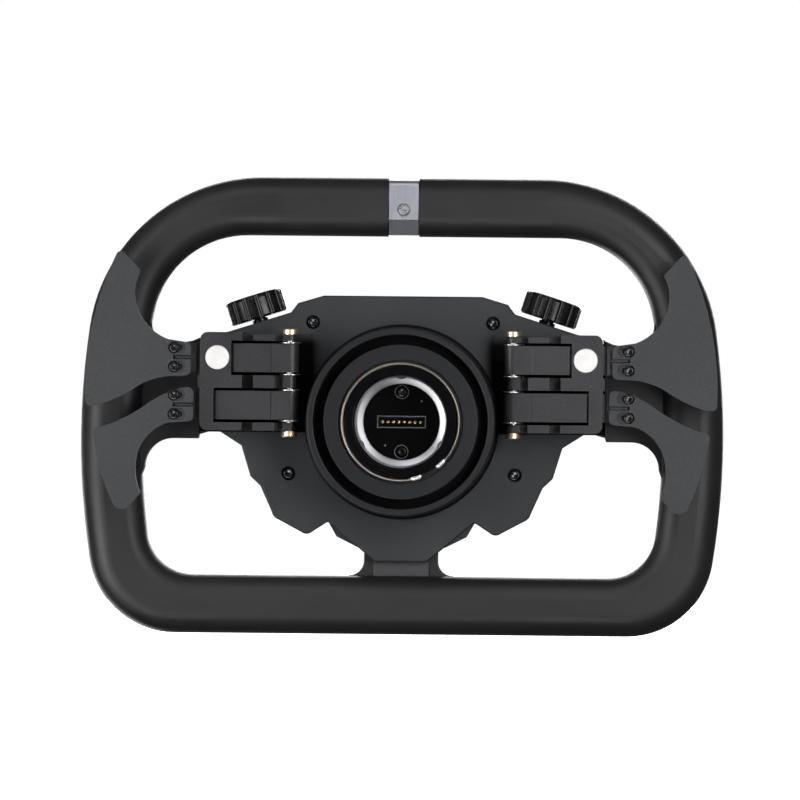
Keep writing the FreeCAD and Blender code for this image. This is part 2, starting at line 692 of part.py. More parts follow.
def make_collar():
    """Sliding collar. Its inner cone holds the balls in, and a groove takes the springs."""
    slope = "(dim.ball_travel / dim.collar_travel)"
    bore = "dim.sleeve_r + dim.collar_fit"
    cone_at_ball = "(dim.ball_orbit + dim.ball_r + 0.45)"
    cone_rear = 6.5
    outer = "dim.collar_r"
    body = revolved("qr_collar", [
        (bore, 3.6), (28.6, 3.6), (28.6, 4.2), (29.3, 4.2), (29.3, 2.2), (35.9, 2.2), (35.9, 10),
        (40.5, 10), (40.5, 3.1), (41.1, "dim.collar_rear"), (outer + " - 0.8", "dim.collar_rear"),
        (outer, "dim.collar_rear + 0.8"), (outer, "dim.collar_front - 0.8"),
        (outer + " - 0.8", "dim.collar_front"), ("dim.spring_r + 2", "dim.collar_front"),
        ("dim.spring_r + 2", 13), ("dim.spring_r - 2", 13), ("dim.spring_r - 2", "dim.collar_front"),
        (bore, "dim.collar_front"),
        (bore, "dim.ball_y + (%s - (%s)) / %s" % (cone_at_ball, bore, slope)),
        ("%s + (dim.ball_y - %s) * %s" % (cone_at_ball, cone_rear, slope), cone_rear),
        (bore, cone_rear)])
    return node("qr_collar", body)


def make_snap_ring():
    """Wire ring with two inturned ends that stops the collar."""
    gap_start = -71.8
    gap_end = -45.5
    body = new_body("qr_snap_ring")
    profile = new_sketch(body, "XY")
    add_circle(profile, "dim.ring_r", 2.4, "dim.ring_wire_r")
    turn = body.newObject("PartDesign::Revolution", "ring_turn")
    turn.Profile = profile
    turn.ReferenceAxis = (profile, ["V_Axis"])
    turn.Angle = 360 - (gap_end - gap_start)
    body.Tip = turn
    place(body, 0, 0, 0, axis=Y_AXIS, angle=-gap_start)
    return node("qr_snap_ring", body)


def make_connector():
    """Taper seat, connector plate, contact block, contacts and their screws."""
    seat = revolved("qr_taper_seat", [
        ("dim.seat_r + 2.7", 26.2), ("dim.inner_bore_r", 26.2), ("dim.inner_bore_r", 31),
        ("dim.seat_r", 31), ("dim.seat_r", 27.5)])
    node("qr_taper_seat", seat)
    plate = revolved("connector_plate", [
        (0, 28), ("dim.seat_r - 0.1", 28), ("dim.seat_r - 0.1", 31), ("dim.inner_bore_r", 31),
        ("dim.inner_bore_r", 34), (0, 34)])
    opening = new_sketch(plate, "XZ", 28)
    add_rectangle(opening, -11.4, -2.85, 11.4, 2.85)
    pocket(plate, opening, 5)
    drill(plate, [(0, 14), (0, -14)], 3.3, 28, 2.2)
    drill(plate, [(0, 14), (0, -14)], 1.25, 28, 6)
    node("connector_plate", plate)
    block = new_body("contact_block")
    profile = new_sketch(block, "XZ", 27.4)
    add_rectangle(profile, -11.4, -2.85, 11.4, 2.85)
    pad(block, profile, 5.6)
    recess = new_sketch(block, "XZ", 27.4)
    add_rectangle(recess, -10.6, -2.05, 10.6, 2.05)
    pocket(block, recess, 0.8)
    spots = [("dim.contact_pitch * %s" % (k - 3.5), 0) for k in range(8)]
    drill(block, spots, 0.8, 28, 4)
    node("contact_block", block)
    pin = revolved("contact_pin", [(0, -0.6), (0.45, -0.6), (0.8, -0.2, 0.6), (0.8, 4), (0, 4)])
    group("contact_pins", pin, [(x, 28, 0) for x, z in spots])
    small = screw("connector_screw", 2.5, 1.5, 1.15, 5, 1.3)
    group("connector_screws", small, [(0, 30.2, 14), (0, 30.2, -14)])


def make_flange_screws():
    """Screws that clamp the rim core and the back plate to the sleeve's flange."""
    bolt = screw("flange_screw", 3.5, 3, 2, 15.4, 1.6)
    spots = [(x, "dim.core_rear + dim.core_thick", z) for x, z in flange_screw_spots()]
    group("qr_flange_screws", bolt, spots, axis=Vector(0, 0, 1), angle=180)


def coil(name, radius, wire_r, length, turns, middle):
    """A coil spring along Y that starts at y = 0 round a given axis spot."""
    body = new_body(name)
    profile = new_sketch(body, "XY")
    add_circle(profile, radius, wire_r, wire_r)
    feature = body.newObject("PartDesign::AdditiveHelix", name + "_helix")
    feature.Profile = profile
    feature.ReferenceAxis = (profile, ["V_Axis"])
    feature.Mode = "pitch-turns-angle"
    feature.Pitch = (length - 2 * wire_r) / turns
    feature.Turns = turns
    body.Tip = feature
    place(body, *middle)
    return body


def make_balls():
    for number in range(3):
        across, up = ball_direction(number)
        ball = doc.addObject("Part::Sphere", "ball_%d" % number)
        bind(ball, "Radius", "dim.ball_r")
        place(ball, "dim.ball_orbit * %.6f" % across, "dim.ball_y", "dim.ball_orbit * %.6f" % up)
        node("locking_ball_%d" % (number + 1), ball)


# Paddles ---------------------------------------------------------------------------------------

FRAME_BOTTOM = -4.7
FRAME_TOP = 41.2
FINGER_TOP = 40.2
LOWER_WINDOW = (-0.9, 15.2)
UPPER_WINDOW = (21.2, 37.3)
WASHER = 0.8
GROOVE_START = 94.2
GROOVE_END = 95.8
BLADE_SCREW_X = 106.2
BLADE_SCREW_RISE = 4.45
SHIFT_MIDDLE = "dim.shift_z + dim.lever_height / 2"
CLUTCH_MIDDLE = "dim.clutch_z + dim.lever_height / 2"


def hinge_loop(radius, corners):
    """A profile seen from above: the corners, closed by a round end about the hinge axis."""
    rear = ("dim.hinge_x", "dim.hinge_y - %s" % radius, radius)
    front = ("dim.hinge_x", "dim.hinge_y + %s" % radius)
    return [rear] + corners + [front]


def upright(body, low, height, *loops):
    """A piece of constant section along Z, with the hinge pin's hole."""
    profile = new_sketch(body, "XY", low)
    for loop in loops:
        add_outline(profile, loop)
    add_circle(profile, "dim.hinge_x", "dim.hinge_y", "dim.pin_r + dim.pin_fit")
    return pad(body, profile, height)


def make_paddle_frame():
    """Fixed frame of a paddle pair: three fingers with knuckles, joined by a rear bridge."""
    rear = "dim.frame_rear"
    block_rear = 12.6
    web_rear = "dim.hinge_y + 1.3"
    slot_floor = 22
    inner = 74.4
    body = new_body("paddle_frame")
    knuckle_rear = "dim.hinge_y - dim.knuckle_r"
    for low, high, reach in ((FRAME_BOTTOM, LOWER_WINDOW[0], 0), (LOWER_WINDOW[1], UPPER_WINDOW[0], 1),
                             (UPPER_WINDOW[1], FRAME_TOP, 0)):
        edge = "dim.frame_outer + %s" % reach
        finger = hinge_loop("dim.knuckle_r", [
            (55.4, knuckle_rear), (55.4, web_rear), (59.1, web_rear), (59.1, block_rear),
            (69.2, block_rear), (69.2, slot_floor), (inner, slot_floor), (inner, rear), (edge, rear),
            (edge, "dim.plate_rear"), (60, "dim.plate_rear"), (60, "dim.hinge_y + 6")])
        upright(body, low, high - low, finger)
    bridge = new_sketch(body, "XZ", rear)
    outer = "dim.frame_outer"
    add_outline(bridge, [
        (inner, FRAME_BOTTOM), (outer, FRAME_BOTTOM), (outer, FRAME_TOP), (inner, FRAME_TOP),
        (inner, UPPER_WINDOW[1]), (79.5, UPPER_WINDOW[1]), (79.5, UPPER_WINDOW[0]),
        (inner, UPPER_WINDOW[0]), (inner, LOWER_WINDOW[1]), (87.6, LOWER_WINDOW[1]),
        (87.6, LOWER_WINDOW[0]), (inner, LOWER_WINDOW[0])])
    pad(body, bridge, "dim.frame_bridge")
    step = new_sketch(body, "XZ", 10)
    add_rectangle(step, 45, FINGER_TOP, inner, FRAME_TOP + 1)
    pocket(body, step, 30)
    outer_edge = value(outer)
    soften(body, 3.5, lambda edge: in_plane(edge, "x", outer_edge) and (
        in_plane(edge, "z", FRAME_BOTTOM) or in_plane(edge, "z", FRAME_TOP)))
    drill(body, [("dim.magnet_x", "dim.magnet_z")], "dim.magnet_r + 0.05", rear, 3.2)
    drill(body, FRAME_SCREWS, 1.05, "dim.plate_rear - 7", 7)
    pair("paddle_frame", body)
    magnet = revolved("frame_magnet", [(0, 0), ("dim.magnet_r - 0.3", 0), ("dim.magnet_r", 0.3),
                                       ("dim.magnet_r", 3.1), (0, 3.1)])
    spots = [(side % "dim.magnet_x", "dim.frame_rear + 0.1", "dim.magnet_z") for side in ("%s", "-%s")]
    group("frame_magnets", magnet, spots)
    fixing = screw("frame_screw", 2, 1.7, 1, 9.5, 1)
    spots = [(x, "dim.core_rear - 1.8", z) for x, z in mirrored_spots(FRAME_SCREWS)]
    group("paddle_frame_screws", fixing, spots, axis=Vector(0, 0, 1), angle=180)


def make_hinge():
    """Brass hinge pins with a head at each end, and washers beside every lever."""
    head_r = 3.55
    low = -5.0
    high = 40.4
    pin = revolved("hinge_pin", [
        (0, low - 2.6), (head_r - 0.5, low - 2.6), (head_r, low - 2.1), (head_r, low),
        ("dim.pin_r", low), ("dim.pin_r", high), (head_r, high), (head_r, high + 2.1),
        (head_r - 0.5, high + 2.6), (0, high + 2.6)], "XZ")
    group("hinge_pins", pin, [("dim.hinge_x", "dim.hinge_y", 0), ("-dim.hinge_x", "dim.hinge_y", 0)])
    washer = revolved("hinge_washer", [("dim.pin_r + 0.05", 0), (4.7, 0), (5, 0.3), (5, WASHER - 0.3),
                                       (4.7, WASHER), ("dim.pin_r + 0.05", WASHER)], "XZ")
    clearance = 0.05
    levels = ["dim.clutch_z - %s" % (WASHER + clearance),
              "dim.clutch_z + dim.lever_height + %s" % clearance, UPPER_WINDOW[0],
              "dim.shift_z + dim.lever_height + %s" % clearance]
    spots = [(side, "dim.hinge_y", level) for side in ("dim.hinge_x", "-dim.hinge_x")
             for level in levels]
    group("hinge_washers", washer, spots)


def make_lever(name, low, middle, block_end, arm_end):
    """Lever: a barrel on the pin, a raised block in the frame's window and an arm for the blade.

    A relief groove crosses the arm where it leaves the frame.
    """
    block_rear = "dim.hinge_y - dim.barrel_r - 0.6"
    groove_floor = "dim.lever_rear + 2.2"
    front = "dim.lever_rear + dim.lever_thick"
    body = new_body(name)
    upright(body, low, "dim.lever_height", hinge_loop("dim.barrel_r", [
        (60.6, "dim.hinge_y - dim.barrel_r"), (61.4, block_rear), (block_end, block_rear),
        (block_end, "dim.lever_rear"), (GROOVE_START, "dim.lever_rear"), (GROOVE_START, groove_floor),
        (GROOVE_END, groove_floor), (GROOVE_END, "dim.lever_rear"), (arm_end, "dim.lever_rear"),
        (arm_end, front), (60, front)]))
    rib = new_sketch(body, "XZ", "dim.lever_rear - dim.blade_thick + 0.4")
    add_rectangle(rib, 97.6, "%s - 0.45" % middle, 105.6, "%s + 0.45" % middle)
    pad(body, rib, "dim.blade_thick - 0.4 + 1")
    spots = [(BLADE_SCREW_X, "%s + %s" % (middle, rise))
             for rise in (BLADE_SCREW_RISE, -BLADE_SCREW_RISE)]
    drill(body, spots, 1.25, "dim.lever_rear", "dim.lever_thick")
    return body


def make_blade(name, outline, middle):
    """Flat blade with two slotted screw seats and a guide slit at its root."""
    rear = "dim.lever_rear - dim.blade_thick"
    body = padded(name, outline, rear, "dim.blade_thick")
    slot_start = BLADE_SCREW_X - 2.7
    seats = new_sketch(body, "XZ", rear)
    holes = new_sketch(body, "XZ", rear)
    for rise in (BLADE_SCREW_RISE, -BLADE_SCREW_RISE):
        up = "%s + %s" % (middle, rise)
        add_slot(seats, slot_start, BLADE_SCREW_X, up, 2.8)
        add_slot(holes, slot_start, BLADE_SCREW_X, up, 1.4)
    pocket(body, seats, 1.2)
    pocket(body, holes, "dim.blade_thick")
    slit = new_sketch(body, "XZ", rear)
    add_rectangle(slit, 90, "%s - 0.95" % middle, BLADE_SCREW_X + 0.5, "%s + 0.95" % middle)
    pocket(body, slit, "dim.blade_thick")
    pair(name, body)


SHIFT_BLADE = [(98.4, 33.8), (101.2, 36.5, -2.8), (109.1, 37.7), (124.3, 54.7, 24), (122.7, 68.1, 22),
               (122.9, 70.5, -1.8), (130, 78), (133.5, 77.3, -2.2), (147.5, 9.3, -144),
               (145.2, 6.4, -2.5), (142.5, 6.5), (123.5, 15.4, -60), (108, 20.4, 34), (101.2, 20.6),
               (98.4, 23.4, -2.8)]
CLUTCH_BLADE = [(97, 12.4), (99.8, 15.4, -2.9), (101.2, 15.3), (118, 7.9, -47), (141.6, -3.9, 70),
                (144.1, -6.9, -2.8), (134.6, -38.6, -116), (126.6, -40.2, -4.6), (121.8, -34.9),
                (122.1, -32.4, -1.8), (123, -16.3, 27), (109.1, -1.5, 21), (99.8, -0.7), (97, 2.1, -2.8)]


def make_paddles():
    """Shift and clutch paddles of the right-hand side, and their left-hand twins."""
    shift = make_lever("shift_lever", "dim.shift_z", SHIFT_MIDDLE, 78.7, 109.5)
    magnet_y = "dim.lever_rear"
    drill(shift, [("dim.magnet_x", "dim.magnet_z")], 4.05, magnet_y, 2)
    pair("shift_lever", shift)
    pair("clutch_lever", make_lever("clutch_lever", "dim.clutch_z", CLUTCH_MIDDLE, 86.8, 109))
    magnet = revolved("lever_magnet", [(0, 0), (4, 0), (4, 1.9), (0, 1.9)])
    place(magnet, "dim.magnet_x", "%s + 0.1" % magnet_y, "dim.magnet_z")
    pair("lever_magnet", magnet)
    make_blade("shift_blade", SHIFT_BLADE, SHIFT_MIDDLE)
    make_blade("clutch_blade", CLUTCH_BLADE, CLUTCH_MIDDLE)
    fixing = screw("blade_screw", 2.45, 1.6, 1.2, 5.2, 1.25)
    for name, middle in (("shift", SHIFT_MIDDLE), ("clutch", CLUTCH_MIDDLE)):
        for side, sign in (("right", 1), ("left", -1)):
            spots = [(sign * BLADE_SCREW_X, "dim.lever_rear - dim.blade_thick + 1.2",
                      "%s + %s" % (middle, rise)) for rise in (BLADE_SCREW_RISE, -BLADE_SCREW_RISE)]
            group("%s_blade_screws_%s" % (name, side), fixing, spots)


def make_springs():
    """Three coil springs behind the collar and one behind each clutch lever."""
    spots = []
    for number in range(3):
        across, up = ball_direction(number + 0.5)
        spots.append(("dim.spring_r * %.6f" % across, 13.1, "dim.spring_r * %.6f" % up))
    group("collar_springs", coil("collar_spring", 1.3, 0.35, 18.8, 8, (0, 0, 0)), spots)
    clutch = coil("clutch_spring", 3, 0.4, 17.3, 7,
                  (70, "dim.lever_rear + dim.lever_thick + 0.1", CLUTCH_MIDDLE))
    pair("clutch_spring", clutch)


# Knobs, dials and buttons ----------------------------------------------------------------------

def knurl(body, radius, count, groove_r, depth_in, plane, start, length, role):
    """Round grooves along the outside of a knob."""
    profile = new_sketch(body, plane, start)
    add_circle(profile, "%s + %s" % (radius, groove_r - depth_in), 0, groove_r)
    groove = pocket(body, profile, length)
    around(body, groove, count, role)


def make_thumb_knobs():
    radius = "dim.knob_r"
    top = "dim.knob_height"
    knob = revolved("thumb_knob", [
        (0, -9), (2.9, -9), (2.9, 0), (radius + " - 0.9", 0), (radius, 0.9), (radius, top + " - 2"),
        (radius + " - 1.8", top, 2.2), (9.6, top), (9, top + " - 0.6"), (0, top + " - 0.6")], "XZ")
    knurl(knob, radius, 15, 1.5, 0.95, "XY", -1, "dim.knob_height + 2", "Z_Axis")
    knob_frame(knob, 0)
    pair("thumb_knob", knob)


def make_dials():
    radius = "dim.dial_r"
    rear = 67.2
    tip = 74
    dial = revolved("dial_knob", [
        (0, 61.5), (2.9, 61.5), (2.9, rear), (radius, rear), (radius, tip - 1.2),
        (radius + " - 1", tip, 1.3), (6, tip), (5.6, tip - 0.5), (0, tip - 0.5)])
    knurl(dial, radius, 18, 0.8, 0.5, "XZ", rear - 1, 9, "Y_Axis")
    place(dial, "dim.dial_x", 0, "dim.dial_z")
    pair("dial_knob", dial)


def make_encoders():
    """Rotary encoders: a square body and a bushing round the knob's shaft."""
    thumb = new_body("thumb_encoder")
    square = new_sketch(thumb, "XY", -17)
    add_rectangle(square, -6, -6, 6, 6)
    pad(thumb, square, 7)
    bushing = new_sketch(thumb, "XY", -10)
    add_circle(bushing, 0, 0, 3.85)
    add_circle(bushing, 0, 0, 2.96)
    pad(thumb, bushing, 9.5)
    knob_frame(thumb, 0)
    base = "dim.board_rear + dim.board_thick"
    front = new_body("dial_encoder")
    square = new_sketch(front, "XZ", base)
    add_rectangle(square, -6, -6, 6, 6)
    pad(front, square, 5.3)
    bushing = new_sketch(front, "XZ", "%s + 5.3" % base)
    add_circle(bushing, 0, 0, 3.4)
    add_circle(bushing, 0, 0, 2.96)
    pad(front, bushing, 6)
    place(front, "dim.dial_x", 0, "dim.dial_z")
    pieces = [thumb, front]
    for number, source in enumerate((thumb, front)):
        mirror = doc.addObject("Part::Mirroring", "encoder_left_%d" % number)
        mirror.Source = source
        mirror.Normal = Vector(1, 0, 0)
        pieces.append(mirror)
    encoders = doc.addObject("Part::Compound", "encoders_group")
    encoders.Links = pieces
    node("encoder_bodies", encoders)


def make_buttons():
    """Push buttons with a flange behind the front wall, and the switches under them."""
    base = "dim.board_rear + dim.board_thick"
    case = new_body("button_switch")
    square = new_sketch(case, "XZ", base)
    add_rectangle(square, -3, -3, 3, 3)
    pad(case, square, 1.6)
    plunger = new_sketch(case, "XZ", "%s + 1.6" % base)
    add_circle(plunger, 0, 0, 1.2)
    pad(case, plunger, 0.4)
    group("button_switches", case, [(x, 0, z) for x, z in mirrored_spots(BUTTONS)])
    radius = "dim.button_r"
    flange = "dim.case_front - dim.case_wall - 0.1"
    for side, sign in (("right", 1), ("left", -1)):
        for number, (x, z) in enumerate(BUTTONS, 1):
            name = "button_%s_%d" % (side, number)
            button = revolved(name, [
                (0, 59.2), (6.5, 59.2), (6.5, flange), (radius, flange),
                (radius, "dim.button_top - 0.8"), (radius + " - 0.8", "dim.button_top", 0.8),
                (0, "dim.button_top")])
            place(button, sign * x, 0, z)
            node(name, button)


def check_document():
    """Stop if a feature failed, a cut removed nothing or a sub-part isn't a valid solid."""
    for thing in doc.Objects:
        if "Invalid" in thing.State or "Error" in thing.State:
            raise RuntimeError("%s (%s) failed: %s" % (thing.Label, thing.TypeId, thing.State))
        if thing.TypeId in ("PartDesign::Pocket", "PartDesign::PolarPattern"):
            before = thing.BaseFeature.Shape.Volume
            if thing.Shape.Volume > before - 0.01:
                raise RuntimeError("%s removes nothing" % thing.Label)
    for name, thing in nodes.items():
        if thing.Shape.isNull() or not thing.Shape.isValid() or not thing.Shape.Solids:
            raise RuntimeError("%s is not a valid solid" % name)


def export_nodes():
    os.makedirs("parts", exist_ok=True)
    for name, thing in nodes.items():
        thing.Shape.exportStep("parts/%s.step" % name)


rim_core = make_rim_core()
make_rim_grip(rim_core)
make_centre_band(rim_core)
make_back_plate()
make_housing()
make_face_plate()
make_circuit_boards()
make_sleeve()
make_collar()
make_snap_ring()
make_connector()
make_flange_screws()
make_balls()
make_paddle_frame()
make_hinge()
make_paddles()
make_springs()
make_thumb_knobs()
make_dials()
make_encoders()
make_buttons()
doc.recompute()
check_document()
export_nodes()
for name, thing in sorted(nodes.items()):
    box = thing.Shape.BoundBox
    print("%-28s %2d solid(s) %10.1f mm3  x %.1f..%.1f  y %.1f..%.1f  z %.1f..%.1f" % (
        name, len(thing.Shape.Solids), thing.Shape.Volume,
        box.XMin, box.XMax, box.YMin, box.YMax, box.ZMin, box.ZMax))
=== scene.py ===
import json
import math

import bmesh
import bpy
from mathutils import Matrix, Vector

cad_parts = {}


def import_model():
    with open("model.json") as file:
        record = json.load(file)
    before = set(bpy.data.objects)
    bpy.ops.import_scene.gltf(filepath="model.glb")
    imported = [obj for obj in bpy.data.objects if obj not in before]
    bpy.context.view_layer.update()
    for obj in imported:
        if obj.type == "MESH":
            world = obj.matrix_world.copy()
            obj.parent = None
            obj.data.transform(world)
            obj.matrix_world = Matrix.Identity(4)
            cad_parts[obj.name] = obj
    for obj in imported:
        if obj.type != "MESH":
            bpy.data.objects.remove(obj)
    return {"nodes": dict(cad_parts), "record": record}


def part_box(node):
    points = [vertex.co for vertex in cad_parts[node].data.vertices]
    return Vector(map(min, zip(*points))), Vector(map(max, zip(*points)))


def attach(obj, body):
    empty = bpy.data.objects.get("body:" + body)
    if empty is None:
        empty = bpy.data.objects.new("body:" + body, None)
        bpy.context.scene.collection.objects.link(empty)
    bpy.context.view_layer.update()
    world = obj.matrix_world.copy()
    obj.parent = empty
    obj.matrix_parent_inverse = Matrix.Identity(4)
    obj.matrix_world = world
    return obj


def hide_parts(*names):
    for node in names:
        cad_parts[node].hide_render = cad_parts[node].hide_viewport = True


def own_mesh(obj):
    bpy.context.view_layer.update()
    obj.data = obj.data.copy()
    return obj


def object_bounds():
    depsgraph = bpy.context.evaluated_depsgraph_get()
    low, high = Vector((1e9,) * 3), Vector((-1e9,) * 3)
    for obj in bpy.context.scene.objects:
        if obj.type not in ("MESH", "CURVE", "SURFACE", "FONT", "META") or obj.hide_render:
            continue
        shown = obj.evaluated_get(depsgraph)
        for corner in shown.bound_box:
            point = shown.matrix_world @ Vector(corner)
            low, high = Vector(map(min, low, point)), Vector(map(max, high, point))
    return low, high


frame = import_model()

CAD_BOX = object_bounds()
NODES = frame["nodes"]
MM = 0.001
SAME_POINT = 0.001 * MM


# Node graphs ------------------------------------------------------------------------------------

class Graph:
    """A material's node tree with one Principled shader."""

    def __init__(self, name, color, roughness, metallic=0.0, **sockets):
        self.material = bpy.data.materials.new(name)
        self.material.use_nodes = True
        self.tree = self.material.node_tree
        self.shader = self.tree.nodes["Principled BSDF"]
        self.shader.inputs["Base Color"].default_value = (*color, 1)
        self.shader.inputs["Roughness"].default_value = roughness
        self.shader.inputs["Metallic"].default_value = metallic
        for socket, value in sockets.items():
            self.shader.inputs[socket.replace("_", " ")].default_value = value
        self.places = self.tree.nodes.new("ShaderNodeTexCoord").outputs["Object"]
        self.normal = None

    def add(self, kind, **settings):
        node = self.tree.nodes.new("ShaderNode" + kind)
        for key, value in settings.items():
            setattr(node, key, value)
        return node

    def link(self, source, target):
        self.tree.links.new(source, target)

    def feed(self, node, **inputs):
        """Sets or links a node's inputs, by name with underscores for spaces, or by number as i0, i1."""
        for key, value in inputs.items():
            numbered = key[0] == "i" and key[1:].isdigit()
            socket = node.inputs[int(key[1:]) if numbered else key.replace("_", " ")]
            if isinstance(value, bpy.types.NodeSocket):
                self.link(value, socket)
            else:
                socket.default_value = value
        return node

    def math(self, operation, first, second=0.0):
        node = self.add("Math", operation=operation)
        self.feed(node, i0=first, i1=second)
        return node.outputs[0]

    def stretched(self, scale):
        node = self.add("Mapping")
        self.feed(node, Vector=self.places, Scale=scale)
        return node.outputs[0]

    def joined(self, source):
        """A point whose X is the given number, for patterns that run along one line."""
        node = self.add("CombineXYZ")
        self.feed(node, X=source)
        return node.outputs[0]

    def noise(self, scale, detail=3.0, roughness=0.55, places=None):
        node = self.add("TexNoise")
        self.feed(node, Vector=places or self.places, Scale=scale, Detail=detail, Roughness=roughness)
        return node.outputs["Fac"]

    def cells(self, scale):
        node = self.add("TexVoronoi")
        self.feed(node, Vector=self.places, Scale=scale)
        return node.outputs["Distance"]

    def spread(self, source, low, high, to_low=0.0, to_high=1.0):
        node = self.add("MapRange", interpolation_type="SMOOTHSTEP")
        self.feed(node, Value=source, From_Min=low, From_Max=high, To_Min=to_low, To_Max=to_high)
        return node.outputs[0]

    def from_axis(self):
        """Distance from the steering axis, in metres."""
        flat = self.add("VectorMath", operation="MULTIPLY")
        self.feed(flat, i0=self.places, i1=(1, 0, 1))
        length = self.add("VectorMath", operation="LENGTH")
        self.feed(length, i0=flat.outputs[0])
        return length.outputs["Value"]

    def band(self, source, low, high, soft):
        """1 between low and high, 0 outside."""
        rise = self.spread(source, low - soft, low + soft)
        fall = self.spread(source, high - soft, high + soft, 1.0, 0.0)
        return self.math("MULTIPLY", rise, fall)

    def mix(self, share, first, second):
        node = self.add("Mix", data_type="RGBA", clamp_factor=True)
        self.feed(node, i0=share)
        for place, value in ((6, first), (7, second)):
            socket = node.inputs[place]
            if isinstance(value, bpy.types.NodeSocket):
                self.link(value, socket)
            else:
                socket.default_value = value if len(value) == 4 else (*value, 1)
        return node.outputs[2]

    def rounded(self, radius):
        """Edge rounding in the shading, for the small breaks on moulded and machined edges."""
        node = self.add("Bevel", samples=4)
        self.feed(node, Radius=radius)
        self.normal = node.outputs[0]

    def edges(self):
        """1 along the edges that rounded() has rounded, 0 on flats."""
        geometry = self.add("NewGeometry")
        product = self.add("VectorMath", operation="DOT_PRODUCT")
        self.feed(product, i0=self.normal, i1=geometry.outputs["Normal"])
        turned = self.math("SUBTRACT", 1.0, product.outputs["Value"])
        return self.spread(turned, 0.04, 0.35)

    def bump(self, height, distance, strength=1.0):
        node = self.add("Bump")
        self.feed(node, Height=height, Distance=distance, Strength=strength)
        if self.normal is not None:
            self.link(self.normal, node.inputs["Normal"])
        self.normal = node.outputs[0]

    def done(self):
        if self.normal is not None:
            self.link(self.normal, self.shader.inputs["Normal"])
        return self.material

    def set_color(self, source):
        self.link(source, self.shader.inputs["Base Color"])

    def set_roughness(self, source):
        self.link(source, self.shader.inputs["Roughness"])


def scaled(color, share):
    return tuple(channel * share for channel in color)


# Materials --------------------------------------------------------------------------------------

def grip_rubber():
    """Moulded rubber with a soft sheen, faint smudges and a fine grain."""
    base = (0.0106, 0.0106, 0.0116)
    g = Graph("grip_rubber", base, 0.5, Specular_IOR_Level=0.36)
    smudge = g.noise(22, 4, 0.6)
    fine = g.noise(900, 2)
    g.set_color(g.mix(g.spread(smudge, 0.35, 0.7), scaled(base, 0.88), scaled(base, 1.16)))
    g.set_roughness(g.spread(g.math("ADD", g.math("MULTIPLY", smudge, 0.6), g.math("MULTIPLY", fine, 0.4)),
                             0.3, 0.7, 0.44, 0.58))
    g.rounded(0.6 * MM)
    g.bump(g.cells(1700), 0.03 * MM, 0.4)
    g.bump(g.noise(60, 2), 0.05 * MM, 0.25)
    return g.done()


def blasted(name, base, roughness, metallic=0.25, grain=2600, speck=0.35, depth=0.03, wear_and_sheen=0.25,
            hinge_painted_shade=False, **sockets):
    """Fine blasted and anodised alloy with light specks, and edges lightened partly as wear and partly as a
    painted highlight. With the hinge shade on, the part behind the paddle hinges is darkened to near black
    as painted shade, fading out upwards and towards the middle of the wheel."""
    g = Graph(name, base, roughness, metallic, **sockets)
    g.rounded(0.35 * MM)
    cloud = g.noise(30, 4, 0.6)
    fine = g.noise(grain, 2, 0.7)
    tone = g.mix(g.spread(fine, 0.32, 0.72), scaled(base, 1 - speck), scaled(base, 1 + speck))
    tone = g.mix(g.math("MULTIPLY", g.spread(cloud, 0.4, 0.7), 0.25), tone, scaled(base, 1.25))
    # Edges lightened in patches, partly as wear and partly as a painted highlight.
    edge = g.math("MULTIPLY", g.edges(), wear_and_sheen)
    scuff_and_sheen_patches = g.spread(g.noise(380, 4, 0.7), 0.42, 0.62, 0.35, 1.0)
    tone = g.mix(g.math("MULTIPLY", edge, scuff_and_sheen_patches), tone, scaled(base, 4.0))
    # Painted shade: behind the paddle hinges the plate goes near black and reflects less, where the hinges
    # shade it.
    if hinge_painted_shade:
        split = g.add("SeparateXYZ")
        g.feed(split, Vector=g.places)
        outside = g.spread(g.math("ABSOLUTE", split.outputs["X"]), 36 * MM, 44 * MM)
        below = g.spread(split.outputs["Z"], 35 * MM, 42 * MM, 1.0, 0.0)
        above = g.spread(split.outputs["Z"], -5.6 * MM, -5.0 * MM)
        hinge_shade = g.math("MULTIPLY", g.math("MULTIPLY", outside, below), above)
        tone = g.mix(hinge_shade, tone, scaled(base, 0.05))
        g.link(g.spread(hinge_shade, 0.0, 1.0, 0.5, 0.05), g.shader.inputs["Specular IOR Level"])
    g.set_color(tone)
    g.set_roughness(g.spread(cloud, 0.35, 0.7, roughness - 0.05, roughness + 0.07))
    g.bump(fine, depth * MM, 0.5)
    return g.done()


def moulded(name, base, roughness, grain=1500, depth=0.03, edge=0.3, **sockets):
    """Moulded plastic with a fine spark-eroded grain."""
    g = Graph(name, base, roughness, 0.0, **sockets)
    cloud = g.noise(40, 3)
    g.set_color(g.mix(g.spread(cloud, 0.35, 0.7), scaled(base, 0.85), scaled(base, 1.2)))
    g.set_roughness(g.spread(g.noise(260, 3), 0.3, 0.7, roughness - 0.06, roughness + 0.08))
    if edge:
        g.rounded(edge * MM)
    g.bump(g.cells(grain), depth * MM, 0.4)
    return g.done()


def polished(name, base, roughness, metallic=1.0, edge=0.2, **sockets):
    """Smooth metal with fine scratches and uneven polish."""
    scratch = 0.25
    g = Graph(name, base, roughness, metallic, **sockets)
    cloud = g.noise(90, 4, 0.6)
    lines = g.noise(1400, 3, 0.6)
    g.set_color(g.mix(g.spread(cloud, 0.35, 0.72), scaled(base, 0.9), base))
    g.set_roughness(g.spread(g.math("ADD", g.math("MULTIPLY", cloud, 0.5), g.math("MULTIPLY", lines, 0.5)),
                             0.3, 0.7, max(0.03, roughness - scratch * 0.2), roughness + scratch * 0.4))
    g.rounded(edge * MM)
    g.bump(lines, 0.01 * MM, scratch)
    return g.done()


